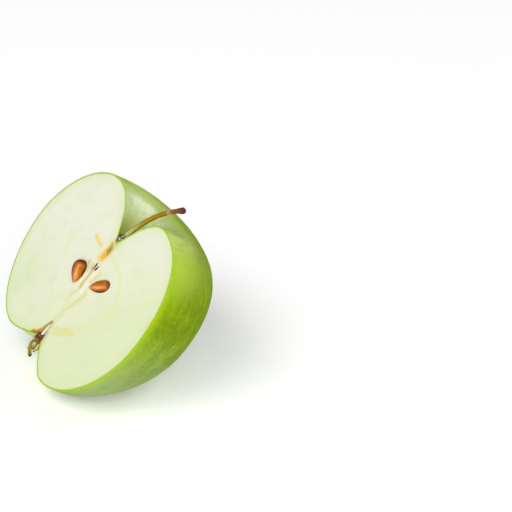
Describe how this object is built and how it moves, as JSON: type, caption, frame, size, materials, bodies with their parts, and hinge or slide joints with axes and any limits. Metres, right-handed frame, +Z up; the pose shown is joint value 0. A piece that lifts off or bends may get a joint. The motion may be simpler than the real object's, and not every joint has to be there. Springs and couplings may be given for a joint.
{
  "type": "green apple half",
  "caption": "Half of a green apple cut from stem to calyx, with its stem, dried calyx and brown seeds, standing with the pale cut face looking up and forward.",
  "frame": {"origin": "centre of the small flat spot that the half rests on, at floor level", "axes": "+Z up; -Y is the way the cut face looks, which also looks up by about 32 degrees; +X is to the right of someone who looks at the cut face"},
  "size_m": [0.0756, 0.0606, 0.0679],
  "materials": {
    "skin_and_flesh": "glossy green skin with a cream, moist, matt cut face",
    "stem_bark": "matt brown bark",
    "dried_calyx": "dry, matt, olive brown",
    "seed_coat": "polished brown seed coat"
  },
  "bodies": {
    "root": {"fruit_body": "skin_and_flesh", "stem": "stem_bark", "calyx": "dried_calyx", "seed_1": "seed_coat", "seed_2": "seed_coat"}
  },
  "joints": []
}
